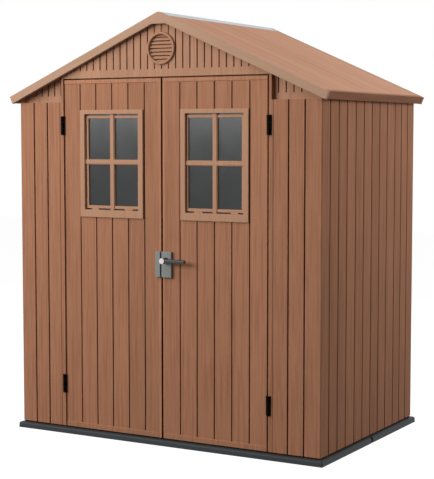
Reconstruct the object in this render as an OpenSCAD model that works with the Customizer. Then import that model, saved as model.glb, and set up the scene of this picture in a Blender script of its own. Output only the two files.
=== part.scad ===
// Free-standing resin garden shed: double doors with windows, pitched roof with a ridge skylight.
// Millimetres, +Z up, front towards -Y, origin on the ground at the centre of the walls.

/* [Walls] */
// Width over the side walls
wall_w = 1760; // [1600:5:2200]
// Depth over the front and back walls
wall_d = 1142; // [950:2:1600]
// Thickness of a wall panel
wall_t = 20; // [14:1:24]
// Height of the front side panels and of the back wall above the floor
wall_h = 1701; // [1650:1:1760]

/* [Base] */
// Thickness of the floor panels
base_h = 30; // [20:1:45]
// How far the floor panels reach past the walls
base_ledge = 18.5; // [10:0.5:30]
// Rounding of the floor's upper edge
base_round = 12; // [4:1:16]
// Where the two floor panels meet, behind the middle
floor_joint_y = 4; // [1:1:60]

/* [Doorway] */
// Clear width of the doorway
doorway_w = 1200; // [1000:2:1400]
// Running gap round and under the doors
door_gap = 6; // [5:0.5:8]
// Gap between the two doors
meeting_gap = 7.5; // [7.5:0.5:10]
// Thickness of a door leaf
leaf_t = 28; // [24:1:32]
// Width of a door post seen from the front
post_w = 14; // [10:1:30]
// Depth of the door posts and header behind the wall panel
post_d = 40; // [35:1:60]
// How far the stop behind a door reaches past the doorway's edge
stop_lap = 17; // [12:1:25]
// Clear space between a closed door and its stop
stop_gap = 7; // [5:0.5:9]
// Height of the gable's side edges above the doorway
gable_side_h = 19; // [15:1:60]
// Height of the header above the doorway's top
header_rise = 15; // [5:1:18]
// How far the header's stop reaches below the doorway's top
header_lap = 25; // [15:1:40]

/* [Roof] */
// Pitch of the roof in degrees
pitch = 23.7; // [15:0.1:32]
// Reach of the eaves past the side walls
eave_reach = 42.5; // [30:0.5:80]
// Height of the eaves' upper edge above the front side panels
eave_rise = 34; // [28:1:60]
// Reach of the rake trims past the front and back walls
rake_reach = 32; // [20:1:60]
// Depth of the rake and eave trims across the slope
trim_h = 40; // [34:1:60]
// Thickness of a rake trim
rake_t = 20; // [12:1:28]
// Thickness of an eave trim along the slope
eave_t = 22; // [12:1:30]
// Thickness of a roof panel
roof_t = 26; // [18:1:30]
// How far the trims stand above the roof surface
trim_proud = 1; // [0.5:0.5:5]
// How far the rake trims stand past the eave trim
rake_end_proud = 3; // [1:0.5:6]
// Clearance between the roof's underside and the walls and gables below it
roof_seat = 0.1; // [0.05:0.05:0.3]
// Half the width of the ridge caps between the rake trims
ridge_cap_half_w = 38; // [25:1:46]
// Half the width of the translucent ridge strip
skylight_half_w = 48; // [42:1:80]
// Thickness of the translucent ridge strip
skylight_t = 10; // [5:1:14]
// Width of the ridge beam
beam_w = 30; // [20:1:44]
// Height of the ridge beam
beam_h = 60; // [40:1:90]

/* [Gables] */
// How far the gable beside the doorway lies behind the front
cheek_recess = 29; // [24:1:34]
// Height of the ledge behind the front side panels
cheek_ledge_h = 20; // [10:1:40]
// Distance of the vent's centre below the ridge
vent_drop = 179; // [170:1:195]
// Outer radius of the vent's flange
vent_flange_r = 80; // [60:1:84]
// Inner radius of the vent
vent_inner_r = 68; // [45:1:72]
// Wall of the vent's sleeve in the gable
vent_sleeve_t = 4; // [2:0.5:6]
// Clearance round the vent's sleeve and round its blades
vent_clear = 0.2; // [0.1:0.1:0.6]
// How far the vent's flange stands in front of the gable
vent_flange_t = 13; // [6:1:18]
// Number of louvre blades in a vent
louvre_count = 8; // [4:1:8]
// Distance between neighbouring louvre blades
louvre_pitch = 18; // [12:0.5:18]
// Thickness of a louvre blade
louvre_t = 5; // [3:0.5:7]
// Depth of a louvre blade
louvre_d = 16; // [10:1:20]

/* [Windows] */
// Margin between the window frame and the leaf's meeting edge
window_meet_margin = 106; // [70:1:130]
// Margin between the window frame and the leaf's hinge edge
window_hinge_margin = 101; // [70:1:130]
// Distance of the window frame's upper edge below the doorway's top
window_drop = 161; // [80:1:300]
// Height of the window frame
window_h = 548; // [400:1:660]
// Width of the frame's sides
window_side = 28; // [20:1:40]
// Width of the frame's top
window_top = 22; // [18:1:40]
// Width of the frame's sill
window_sill = 38; // [25:1:60]
// How far the frame's flange laps the door leaf
window_lap = 10; // [5:1:15]
// How far the frame stands in front of the leaf
window_proud = 6; // [3:0.5:10]
// Depth of the glass behind the leaf's front
glass_set = 22; // [15:1:24]
// Thickness of the glass
glass_t = 4; // [2:0.5:4]

/* [Hinges] */
// Distance of the hinge axes outside the doorway's edges
hinge_offset = 3; // [2:0.5:5]
// Distance of the hinge axes in front of the wall
hinge_reach = 8; // [8:0.5:10]
// Height of the lower hinges' centre above the floor
hinge_rise = 233; // [100:1:400]
// Distance of the upper hinges' centre below the front side panels' top
hinge_drop = 119; // [60:1:300]
// Length of a hinge
hinge_len = 96; // [80:2:120]
// Radius of a hinge's barrel
barrel_r = 7; // [6:0.5:7.5]
// Radius of a hinge pin
pin_r = 3; // [2:0.25:4]
// Running clearance round a pin or spindle
pin_clear = 0.05; // [0.03:0.01:0.1]
// Gap between the parts of a hinge's barrel
barrel_gap = 1; // [0.5:0.25:2]
// How far a hinge plate laps the door leaf
plate_lap = 4; // [3:0.5:20]
// Clearance between a moving hinge plate and the doorway's edge
plate_clear = 1; // [0.5:0.25:1.5]
// Thickness of a hinge plate
plate_t = 3; // [2:0.5:4]

/* [Handle] */
// Height of the lever's axis above the floor
lever_rise = 910; // [800:1:1100]
// Distance of the lever's axis from the right door's meeting edge
lever_inset = 28; // [20:1:40]
// Distance of the plates' lower edge below the lever's axis
lock_drop = 86; // [60:1:100]
// Height of the lock plates
lock_h = 130; // [110:1:180]
// Width of the lock plate on the right door
lock_w = 57; // [50:1:80]
// Width of the strike plate on the left door
strike_w = 29; // [20:1:45]
// Thickness of both plates
lock_t = 14; // [10:1:18]
// Length of the lever from its axis
lever_len = 130; // [90:1:150]
// Height of the lever's bar
lever_bar_h = 23; // [16:1:28]
// Depth of the lever's bar
lever_bar_d = 18; // [10:1:24]
// Radius of the lever's hub
hub_r = 15; // [12:0.5:18]
// Distance of the lever's face from the wall's front
lever_reach = 54; // [50:1:70]
// Radius of the lock cylinder's cap
cap_r = 15.5; // [10:0.5:16]
// Thickness of the lock cylinder's cap
cap_t = 3; // [2:0.5:6]
// Radius of the lever's spindle
spindle_r = 5; // [4:0.5:7]
// Gap between the lever's hub and the lock plate
lever_gap = 1; // [0.5:0.25:2]

/* [Hidden] */
$fn = 64;

resin = [0.62, 0.44, 0.34];
pale_resin = [0.71, 0.55, 0.45];
charcoal = [0.23, 0.24, 0.25];
black = [0.07, 0.07, 0.07];
grey = [0.50, 0.50, 0.49];
cap_white = [0.86, 0.85, 0.85];
glass = [0.30, 0.32, 0.33];
frosted = [0.88, 0.89, 0.88];
steel = [0.62, 0.63, 0.64];

half_w = wall_w / 2;
front_y = -wall_d / 2;               // front plane of walls, doors and gable
wall_top = base_h + wall_h;
roof_half_w = half_w + eave_reach;
slope_len = roof_half_w / cos(pitch);
ridge_z = wall_top + eave_rise + roof_half_w * tan(pitch);
roof_end = wall_d / 2 + rake_reach;  // outer face of a rake trim
rake_back = roof_end - rake_t;       // where the rake trims meet the roof panels
panel_under = trim_proud + roof_t;   // depth of the roof panels' underside below the trims' top
light_under = trim_proud + skylight_t;
wall_under = panel_under + roof_seat;  // the same for the walls and gables
post_x = doorway_w / 2 + post_w;
doorway_top = roof_z(post_x, panel_under) - gable_side_h;
hinge_edge = doorway_w / 2 - door_gap;  // the leaf's two upright edges, from the doorway's centre
meet_edge = meeting_gap / 2;
leaf_top = doorway_top - door_gap;
stop_y = front_y + leaf_t + stop_gap;
post_y = front_y + wall_t + post_d;  // back of the door posts
header_z = doorway_top - header_lap;
hinge_x = doorway_w / 2 + hinge_offset;
hinge_y = front_y - hinge_reach;
hinge_heights = [base_h + hinge_rise, wall_top - hinge_drop];
plate_near = hinge_offset + plate_clear;
plate_far = hinge_offset + door_gap + plate_lap;
barrel_part = (hinge_len - 2 * barrel_gap) / 3;
vent_z = ridge_z - vent_drop;
vent_sleeve_r = vent_inner_r + vent_sleeve_t;
vent_hole_r = vent_sleeve_r + vent_clear;
window_near = meet_edge + window_meet_margin;  // the window frame's edges, from the doorway's centre
window_far = hinge_edge - window_hinge_margin;
window_high = doorway_top - window_drop;
window_low = window_high - window_h;
lever_x = meet_edge + lever_inset;
lever_z = base_h + lever_rise;
lock_z = lever_z - lock_drop;
lever_face = front_y - lever_reach;

// Height of a plane that lies depth below the trims' top, measured across the slope
function roof_z(x, depth) = ridge_z - depth / cos(pitch) - abs(x) * tan(pitch);

// Places a left-hand sub-part: side is -1 for the left, 1 for the right
module on_side(side) {
    mirror([side < 0 ? 1 : 0, 0, 0]) children();
}

// An upright slab between two corners
module slab(low, high) {
    translate(low) cube(high - low);
}

// An outline in X and Z, extruded from y0 to y1
module along_y(y0, y1) {
    translate([0, y1, 0]) rotate([90, 0, 0]) linear_extrude(y1 - y0) children();
}

// A cylinder along Y from y0 to y1
module rod_y(r, y0, y1) {
    rotate([-90, 0, 0]) translate([0, 0, y0]) cylinder(r = r, h = y1 - y0);
}

// Outline of a floor panel: square below, rounded at the top
module floor_outline(half_span) {
    translate([-half_span, 0]) square([2 * half_span, base_h - base_round]);
    translate([base_round - half_span, 0]) square([2 * (half_span - base_round), base_h]);
    for (s = [-1, 1])
        translate([s * (half_span - base_round), base_h - base_round]) circle(r = base_round);
}

module floor_panel(y0, y1) {
    span_x = half_w + base_ledge;
    span_y = wall_d / 2 + base_ledge;
    color(charcoal) intersection() {
        along_y(-span_y, span_y) floor_outline(span_x);
        rotate([0, 0, 90]) along_y(-span_x, span_x) floor_outline(span_y);
        slab([-span_x, y0, 0], [span_x, y1, base_h]);
    }
}

module floor_front() { floor_panel(-wall_d, floor_joint_y); }
module floor_rear() { floor_panel(floor_joint_y, wall_d); }

// Front panel beside the doorway, mitred at the corner, with the ledge that carries the gable cheek
module front_wall(side) {
    color(resin) on_side(side) {
        translate([0, 0, base_h]) linear_extrude(wall_h) polygon([
            [doorway_w / 2, front_y], [half_w, front_y],
            [half_w - wall_t, front_y + wall_t], [doorway_w / 2, front_y + wall_t]]);
        slab([post_x, front_y + wall_t, wall_top - cheek_ledge_h],
             [half_w - wall_t, front_y + cheek_recess + wall_t, wall_top]);
    }
}

// Side wall: mitred at both ends, cut to the roof's slope at the top
module side_wall(side) {
    inner = half_w - wall_t;
    end = wall_d / 2;
    color(resin) on_side(side) intersection() {
        translate([0, 0, base_h]) linear_extrude(ridge_z) polygon([
            [half_w, -end], [half_w, end], [inner, end - wall_t], [inner, wall_t - end]]);
        along_y(-end, end) polygon([
            [inner, base_h], [half_w, base_h],
            [half_w, roof_z(half_w, wall_under)], [inner, roof_z(inner, wall_under)]]);
    }
}

// The back wall's mitred plan, raised from the floor to the given height
module back_plan(height) {
    inner = half_w - wall_t;
    end = wall_d / 2;
    translate([0, 0, base_h]) linear_extrude(height) polygon([
        [-half_w, end], [half_w, end], [inner, end - wall_t], [-inner, end - wall_t]]);
}

module back_wall() { color(resin) back_plan(wall_h); }

// Gable outline from bottom up to the roof, out to half_span each side of the ridge
module gable_outline(half_span, bottom) {
    polygon([
        [-half_span, bottom], [half_span, bottom],
        [half_span, roof_z(half_span, wall_under)],
        [skylight_half_w, roof_z(skylight_half_w, wall_under)],
        [skylight_half_w, roof_z(skylight_half_w, light_under + roof_seat)],
        [0, roof_z(0, light_under + roof_seat)],
        [-skylight_half_w, roof_z(skylight_half_w, light_under + roof_seat)],
        [-skylight_half_w, roof_z(skylight_half_w, wall_under)],
        [-half_span, roof_z(half_span, wall_under)]]);
}

module front_gable() {
    color(resin) difference() {
        along_y(front_y, front_y + wall_t) gable_outline(post_x, doorway_top);
        translate([0, 0, vent_z]) rod_y(vent_hole_r, front_y - wall_t, front_y + 2 * wall_t);
    }
}

// Rear gable, mitred into the side walls like the back wall below it
module back_gable() {
    end = wall_d / 2;
    color(resin) difference() {
        intersection() {
            along_y(end - wall_t, end) gable_outline(half_w, wall_top);
            back_plan(ridge_z);
        }
        translate([0, 0, vent_z]) rod_y(vent_hole_r, end - 2 * wall_t, end + wall_t);
    }
}

// Recessed part of the front gable, between the door post and the side wall
module gable_cheek(side) {
    inner = half_w - wall_t;
    color(resin) on_side(side)
        along_y(front_y + cheek_recess, front_y + cheek_recess + wall_t) polygon([
            [post_x, wall_top], [inner, wall_top],
            [inner, roof_z(inner, wall_under)], [post_x, roof_z(post_x, wall_under)]]);
}

// Flange and sleeve of the front vent, turned round for the rear one
module vent_ring() {
    color(resin) translate([0, 0, vent_z]) difference() {
        union() {
            rod_y(vent_flange_r, front_y - vent_flange_t, front_y);
            rod_y(vent_sleeve_r, front_y, front_y + wall_t);
        }
        rod_y(vent_inner_r, front_y - 2 * vent_flange_t, front_y + 2 * wall_t);
    }
}

// Level blades across the vent, each as long as the circle allows
module vent_louvres() {
    color(resin) translate([0, 0, vent_z]) intersection() {
        rod_y(vent_inner_r - vent_clear, front_y - vent_flange_t, front_y + wall_t);
        for (i = [0 : louvre_count - 1])
            translate([-vent_inner_r, front_y - vent_flange_t / 2,
                       (i - (louvre_count - 1) / 2) * louvre_pitch - louvre_t / 2])
                cube([2 * vent_inner_r, louvre_d, louvre_t]);
    }
}

module to_rear() { rotate([0, 0, 180]) children(); }

// Door post: column behind the wall panel, stop behind the door, and a flush face above the panel
module door_post(side) {
    opening = doorway_w / 2;
    color(resin) on_side(side) {
        slab([opening - stop_lap, stop_y, base_h], [opening, post_y, header_z]);
        slab([opening, front_y + wall_t, base_h], [post_x, post_y, doorway_top + header_rise]);
        slab([opening, front_y, wall_top], [post_x, front_y + wall_t, doorway_top]);
    }
}

module door_header() {
    opening = doorway_w / 2;
    color(resin) {
        slab([-opening, stop_y, header_z], [opening, post_y, doorway_top]);
        slab([-opening, front_y + wall_t, doorway_top], [opening, post_y, doorway_top + header_rise]);
    }
}

// Moves a shape drawn along the slope (x down the slope, z across it) to the right-hand slope
module on_slope() {
    translate([0, 0, ridge_z]) rotate([0, pitch, 0]) children();
}

module roof_panel(side) {
    top = skylight_half_w;
    cut = slope_len - eave_t;
    color(pale_resin) on_side(side) along_y(-rake_back, rake_back) polygon([
        [top, roof_z(top, trim_proud)],
        [cut * cos(pitch) - trim_proud * sin(pitch), ridge_z - cut * sin(pitch) - trim_proud * cos(pitch)],
        [cut * cos(pitch) - panel_under * sin(pitch), ridge_z - cut * sin(pitch) - panel_under * cos(pitch)],
        [top, roof_z(top, panel_under)]]);
}

module eave_trim(side) {
    color(pale_resin) on_side(side) on_slope()
        slab([slope_len - eave_t, -rake_back, -trim_h], [slope_len, rake_back, 0]);
}

// Rake trim from the ridge cap down past the eave
module front_rake(side) {
    end = slope_len + rake_end_proud;
    x0 = ridge_cap_half_w;
    color(pale_resin) on_side(side) along_y(-roof_end, -rake_back) polygon([
        [x0, roof_z(x0, 0)],
        [end * cos(pitch), ridge_z - end * sin(pitch)],
        [end * cos(pitch) - trim_h * sin(pitch), ridge_z - end * sin(pitch) - trim_h * cos(pitch)],
        [x0, roof_z(x0, trim_h)]]);
}

module front_ridge_cap() {
    x0 = ridge_cap_half_w;
    color(pale_resin) along_y(-roof_end, -rake_back) polygon([
        [-x0, roof_z(x0, trim_h)], [x0, roof_z(x0, trim_h)],
        [x0, roof_z(x0, 0)], [0, ridge_z], [-x0, roof_z(x0, 0)]]);
}

module skylight() {
    x0 = skylight_half_w;
    color(frosted) along_y(-rake_back, rake_back) polygon([
        [-x0, roof_z(x0, trim_proud)], [0, roof_z(0, trim_proud)], [x0, roof_z(x0, trim_proud)],
        [x0, roof_z(x0, light_under)], [0, roof_z(0, light_under)], [-x0, roof_z(x0, light_under)]]);
}

module ridge_beam() {
    top = roof_z(beam_w / 2, light_under);
    end = wall_d / 2 - wall_t;
    color(steel) slab([-beam_w / 2, -end, top - beam_h], [beam_w / 2, end, top]);
}

// Plan of a hinge plate: a flat on the front and a web back to the barrel
module plate_plan() {
    polygon([
        [plate_near, 0], [plate_near + plate_t, 0],
        [plate_near + plate_t, hinge_reach - plate_t], [plate_far, hinge_reach - plate_t],
        [plate_far, hinge_reach], [plate_near, hinge_reach]]);
}

// One hinge part on the right-hand door: sections of barrel and the plates that carry them
module hinge_part(sections, plate_side, with_pin) {
    for (i = sections) {
        z = (i - 1) * (barrel_part + barrel_gap) - barrel_part / 2;
        difference() {
            translate([0, 0, z]) linear_extrude(barrel_part) {
                circle(r = barrel_r);
                on_side(plate_side) plate_plan();
            }
            if (!with_pin)
                translate([0, 0, z - barrel_gap])
                    cylinder(r = pin_r + pin_clear, h = barrel_part + 2 * barrel_gap);
        }
    }
    if (with_pin)
        translate([0, 0, -hinge_len / 2]) cylinder(r = pin_r, h = hinge_len);
}

module hinge_set(side, sections, plate_side, with_pin) {
    color(black) on_side(side)
        for (z = hinge_heights)
            translate([hinge_x, hinge_y, z]) hinge_part(sections, plate_side, with_pin);
}

module post_hinges(side) { hinge_set(side, [0, 2], 1, true); }
module door_hinges(side) { hinge_set(side, [1], -1, false); }

// Upright slab that lies inside the window frame's outline by the given amounts
module window_slab(side_in, low_in, high_in, y0, y1) {
    slab([window_near + side_in, y0, window_low + low_in],
         [window_far - side_in, y1, window_high - high_in]);
}

// Door leaf with the window's hole
module door_leaf(side) {
    color(resin) on_side(side) difference() {
        slab([meet_edge, front_y, base_h + door_gap], [hinge_edge, front_y + leaf_t, leaf_top]);
        window_slab(window_lap, window_lap, window_lap, front_y - leaf_t, front_y + 2 * leaf_t);
    }
}

module window_frame(side) {
    color(resin) on_side(side) difference() {
        union() {
            window_slab(0, 0, 0, front_y - window_proud, front_y);
            window_slab(window_lap, window_lap, window_lap, front_y, front_y + leaf_t);
        }
        window_slab(window_side, window_sill, window_top, front_y - leaf_t, front_y + 2 * leaf_t);
    }
}

module window_glass(side) {
    y0 = front_y + glass_set;
    color(glass) on_side(side) window_slab(window_side, window_sill, window_top, y0, y0 + glass_t);
}

module strike_plate() {
    color(grey)
        slab([-meet_edge - strike_w, front_y - lock_t, lock_z], [-meet_edge, front_y, lock_z + lock_h]);
}

module lock_plate() {
    color(grey) difference() {
        slab([meet_edge, front_y - lock_t, lock_z], [meet_edge + lock_w, front_y, lock_z + lock_h]);
        translate([lever_x, 0, lever_z]) rod_y(spindle_r + pin_clear, front_y - 2 * lock_t, front_y + lock_t);
    }
}

// Hub, spindle and level bar of the lever, one moulding
module lever_handle() {
    plate_front = front_y - lock_t;
    color(charcoal) translate([lever_x, 0, lever_z]) {
        rod_y(hub_r, lever_face, plate_front - lever_gap);
        rod_y(spindle_r, plate_front - lever_gap, front_y - lever_gap);
        slab([0, lever_face, -lever_bar_h / 2],
             [lever_len - lever_bar_h / 2, lever_face + lever_bar_d, lever_bar_h / 2]);
        translate([lever_len - lever_bar_h / 2, 0, 0])
            rod_y(lever_bar_h / 2, lever_face, lever_face + lever_bar_d);
    }
}

module lock_cap() {
    color(cap_white) translate([lever_x, 0, lever_z]) rod_y(cap_r, lever_face - cap_t, lever_face);
}

floor_front();
floor_rear();
front_wall(-1);  // front_wall_left
front_wall(1);  // front_wall_right
side_wall(-1);  // side_wall_left
side_wall(1);  // side_wall_right
back_wall();
front_gable();
gable_cheek(-1);  // gable_cheek_left
gable_cheek(1);  // gable_cheek_right
back_gable();
vent_ring();  // front_vent_ring
vent_louvres();  // front_vent_louvres
to_rear() vent_ring();  // rear_vent_ring
to_rear() vent_louvres();  // rear_vent_louvres
door_post(-1);  // door_post_left
door_post(1);  // door_post_right
door_header();
roof_panel(-1);  // roof_panel_left
roof_panel(1);  // roof_panel_right
eave_trim(-1);  // eave_trim_left
eave_trim(1);  // eave_trim_right
front_rake(-1);  // front_rake_left
front_rake(1);  // front_rake_right
front_ridge_cap();
to_rear() front_rake(1);  // rear_rake_left
to_rear() front_rake(-1);  // rear_rake_right
to_rear() front_ridge_cap();  // rear_ridge_cap
skylight();
ridge_beam();
post_hinges(-1);  // post_hinges_left
post_hinges(1);  // post_hinges_right
door_leaf(-1);  // door_leaf_left
window_frame(-1);  // window_frame_left
window_glass(-1);  // window_glass_left
door_hinges(-1);  // door_hinges_left
strike_plate();
door_leaf(1);  // door_leaf_right
window_frame(1);  // window_frame_right
window_glass(1);  // window_glass_right
door_hinges(1);  // door_hinges_right
lock_plate();
lever_handle();
lock_cap();
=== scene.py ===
import math
import random

import bmesh
import bpy
from mathutils import Matrix, Vector


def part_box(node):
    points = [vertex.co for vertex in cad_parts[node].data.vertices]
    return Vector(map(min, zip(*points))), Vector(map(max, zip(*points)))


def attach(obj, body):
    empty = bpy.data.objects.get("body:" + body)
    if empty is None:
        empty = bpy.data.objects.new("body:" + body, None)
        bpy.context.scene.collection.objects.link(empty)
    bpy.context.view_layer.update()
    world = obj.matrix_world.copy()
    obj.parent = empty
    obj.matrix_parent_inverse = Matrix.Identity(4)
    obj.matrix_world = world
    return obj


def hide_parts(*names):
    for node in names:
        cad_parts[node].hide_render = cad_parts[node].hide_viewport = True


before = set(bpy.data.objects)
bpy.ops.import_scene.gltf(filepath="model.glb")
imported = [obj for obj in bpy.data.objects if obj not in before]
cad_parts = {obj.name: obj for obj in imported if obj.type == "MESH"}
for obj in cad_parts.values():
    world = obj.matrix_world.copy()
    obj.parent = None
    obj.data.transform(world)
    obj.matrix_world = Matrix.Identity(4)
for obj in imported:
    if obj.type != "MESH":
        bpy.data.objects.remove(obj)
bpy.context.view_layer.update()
print("frame loaded:", len(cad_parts), "nodes")

scene = bpy.context.scene
scene.view_settings.view_transform = "Standard"
mm = 0.001


# mesh helpers
def everything(bm):
    return bm.verts[:] + bm.edges[:] + bm.faces[:]


def block(low, high):
    low, high = Vector(low), Vector(high)
    bm = bmesh.new()
    bmesh.ops.create_cube(bm, size=1)
    bmesh.ops.scale(bm, vec=high - low, verts=bm.verts)
    bmesh.ops.translate(bm, vec=(low + high) / 2, verts=bm.verts)
    return bm


def trim(bm, point, normal):  # removes what lies beyond the plane and closes the cut
    cut = bmesh.ops.bisect_plane(bm, geom=everything(bm), dist=1e-6, plane_co=point,
                                 plane_no=normal, clear_outer=True)
    rim = [e for e in cut["geom_cut"] if isinstance(e, bmesh.types.BMEdge)]
    bmesh.ops.holes_fill(bm, edges=rim, sides=0)


def sliceAt(bm, axis, places):  # adds a line round the piece at each place
    normal = Vector((axis == 0, axis == 1, axis == 2))
    for place in sorted(set(round(p, 6) for p in places)):
        bmesh.ops.bisect_plane(bm, geom=everything(bm), dist=2e-6, plane_co=normal * place,
                               plane_no=normal)


def openHole(bm, faceAxis, low, high):  # a rectangular hole right through, between two corners
    uAxis, vAxis = [a for a in range(3) if a != faceAxis]
    sliceAt(bm, uAxis, (low[uAxis], high[uAxis]))
    sliceAt(bm, vAxis, (low[vAxis], high[vAxis]))
    inside = []
    for face in bm.faces:
        if abs(face.normal[faceAxis]) < 0.9:
            continue
        middle = face.calc_center_median()
        if low[uAxis] < middle[uAxis] < high[uAxis] and low[vAxis] < middle[vAxis] < high[vAxis]:
            inside.append(face)
    bmesh.ops.delete(bm, geom=inside, context="FACES")
    rim = [e for e in bm.edges if e.is_boundary]
    bmesh.ops.bridge_loops(bm, edges=rim)
    bm.normal_update()


def bevelEdges(bm, width, segments=2, choose=None, angle=50):
    bm.normal_update()
    edges = [e for e in bm.edges if len(e.link_faces) == 2
             and e.calc_face_angle(0) > math.radians(angle) and (choose is None or choose(e))]
    bmesh.ops.bevel(bm, geom=edges, offset=width, offset_type="OFFSET", segments=segments,
                    profile=0.5, affect="EDGES", clamp_overlap=True, material=-1)


def atFront(y):  # chooses the edges that lie at y or before it
    return lambda e: max(v.co.y for v in e.verts) < y + 1e-4


def fieldDepth(feature, u, v):  # a field set back inside a raised border
    across = min(u - feature["low"][0], feature["high"][0] - u) / feature["ramp"][0]
    along = min(v - feature["low"][1], feature["high"][1] - v) / feature["ramp"][1]
    return feature["depth"] * min(max(min(across, along), 0), 1)


def profileDepth(profile, offset):  # depth at this distance from a groove's middle
    if offset >= profile[0][0]:
        return 0.0
    for (wide, shallow), (narrow, deep) in zip(profile, profile[1:]):
        if offset >= narrow:
            return shallow + (deep - shallow) * (wide - offset) / (wide - narrow)
    return profile[-1][1]


def pressRelief(bm, uAxis, vAxis, faceAxis, faceAt, inward, features, boards, seed, field=None):
    # presses grooves into one flat face, and notes each board's tone and how deep each point went; the depth
    # drives painted shade in the grooves
    grooveShadeLayer = bm.verts.layers.float.get("paintedGrooveShade") or bm.verts.layers.float.new("paintedGrooveShade")
    toneAndHighlightLayer = bm.faces.layers.float.get("boardToneAndHighlight") or bm.faces.layers.float.new("boardToneAndHighlight")
    rampLength, darkestAt = 3 * mm, 8 * mm
    for feature in features:
        own, other = (uAxis, vAxis) if feature["runs"] == "v" else (vAxis, uAxis)
        sliceAt(bm, own, [feature["at"] + s * o for o, _ in feature["profile"] for s in (-1, 1)])
        if feature.get("span"):
            low, high = feature["span"]
            sliceAt(bm, other, (low, low + rampLength, high - rampLength, high))
    if field:
        for axis, part in ((uAxis, 0), (vAxis, 1)):
            low, high, ramp = field["low"][part], field["high"][part], field["ramp"][part]
            sliceAt(bm, axis, (low, low + ramp, high - ramp, high))
    for vert in bm.verts:
        if abs(vert.co[faceAxis] - faceAt) > 1e-5:
            continue
        deepest = 0.0
        for feature in features:
            own, other = (uAxis, vAxis) if feature["runs"] == "v" else (vAxis, uAxis)
            offset = abs(vert.co[own] - feature["at"])
            depth = profileDepth(feature["profile"], offset + 1e-7)
            if depth and feature.get("span"):
                low, high = feature["span"]
                if vert.co[other] < low + rampLength - 1e-5 or vert.co[other] > high - rampLength + 1e-5:
                    depth = 0.0
            deepest = max(deepest, depth)
        setBack = fieldDepth(field, vert.co[uAxis], vert.co[vAxis]) if field else 0.0
        vert.co[faceAxis] += inward * max(deepest, setBack)
        # painted shade: the deeper the point, the darker its groove is painted
        vert[grooveShadeLayer] = max(vert[grooveShadeLayer], deepest / darkestAt)
    rng = random.Random(seed)
    tones = [rng.random() for _ in range(len(boards) + 1)]
    for face in bm.faces:
        u = face.calc_center_median()[uAxis]
        face[toneAndHighlightLayer] = tones[sum(1 for b in boards if b < u)]


def tube(profile, axisPoint, segments=96):  # spins an outline (radius, y) round an axis along Y
    bm = bmesh.new()
    verts = [bm.verts.new((r, y, 0)) for r, y in profile]
    edges = [bm.edges.new((a, b)) for a, b in zip(verts, verts[1:] + verts[:1])]
    bmesh.ops.spin(bm, geom=verts + edges, cent=(0, 0, 0), axis=(0, 1, 0), angle=math.tau,
                   steps=segments, use_merge=True)
    bmesh.ops.remove_doubles(bm, verts=bm.verts, dist=1e-6)
    bmesh.ops.translate(bm, vec=axisPoint, verts=bm.verts)
    bmesh.ops.recalc_face_normals(bm, faces=bm.faces)
    return bm


def joinInto(target, part):
    mesh = bpy.data.meshes.new("part")
    part.to_mesh(mesh)
    part.free()
    target.from_mesh(mesh)
    bpy.data.meshes.remove(mesh)
    return target


def toSide(bm, side):  # shapes are drawn for the right-hand side
    if side < 0:
        bmesh.ops.scale(bm, vec=(-1, 1, 1), verts=bm.verts)
        bmesh.ops.reverse_faces(bm, faces=bm.faces)
    return bm


def toRear(bm):
    bmesh.ops.rotate(bm, verts=bm.verts, cent=(0, 0, 0), matrix=Matrix.Rotation(math.pi, 3, "Z"))
    return bm


def makePiece(name, bm, body, material, stands=(), cutters=(), sharp=32):
    bmesh.ops.recalc_face_normals(bm, faces=bm.faces)
    mesh = bpy.data.meshes.new(name)
    bm.to_mesh(mesh)
    bm.free()
    piece = bpy.data.objects.new(name, mesh)
    scene.collection.objects.link(piece)
    for cutter in cutters:
        tool = bpy.data.objects.new("cutter", bpy.data.meshes.new("cutter"))
        cutter.to_mesh(tool.data)
        cutter.free()
        scene.collection.objects.link(tool)
        hole = piece.modifiers.new("hole", "BOOLEAN")
        hole.operation = "DIFFERENCE"
        hole.solver = "EXACT"
        hole.object = tool
        carved = bpy.data.meshes.new_from_object(
            piece.evaluated_get(bpy.context.evaluated_depsgraph_get()))
        piece.modifiers.clear()
        piece.data = carved
        bpy.data.objects.remove(tool)
    piece.data.polygons.foreach_set("use_smooth", [True] * len(piece.data.polygons))
    piece.data.set_sharp_from_angle(angle=math.radians(sharp))
    shading = piece.modifiers.new("shading", "WEIGHTED_NORMAL")
    shading.keep_sharp = True
    piece.data.materials.clear()
    piece.data.materials.append(material)
    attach(piece, body)
    if stands:
        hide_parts(*stands)
    return piece


# shader groups
def newGroup(name, inputs, outputs):
    group = bpy.data.node_groups.new(name, "ShaderNodeTree")
    for label, kind, value in inputs:
        socket = group.interface.new_socket(label, in_out="INPUT", socket_type=kind)
        if value is not None:
            socket.default_value = value
    for label, kind in outputs:
        group.interface.new_socket(label, in_out="OUTPUT", socket_type=kind)
    return group, group.nodes.new("NodeGroupInput"), group.nodes.new("NodeGroupOutput")


def addNode(tree, kind, values=None, **props):
    node = tree.nodes.new(kind)
    for key, value in props.items():
        setattr(node, key, value)
    for key, value in (values or {}).items():
        if isinstance(value, bpy.types.NodeSocket):
            tree.links.new(value, node.inputs[key])
        else:
            node.inputs[key].default_value = value
    return node


def mathNode(tree, operation, a, b=0.5, c=None):
    values = {0: a, 1: b}
    if c is not None:
        values[2] = c
    return addNode(tree, "ShaderNodeMath", values, operation=operation).outputs[0]


def noise(tree, vector, scale, detail=2.0, roughness=0.5):
    node = addNode(tree, "ShaderNodeTexNoise",
                   {"Vector": vector, "Scale": scale, "Detail": detail, "Roughness": roughness})
    return node.outputs["Fac"]


def swing(tree, value, amount):  # a change of brightness or roughness, round zero
    return mathNode(tree, "MULTIPLY", mathNode(tree, "SUBTRACT", value, 0.5), amount)


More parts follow.
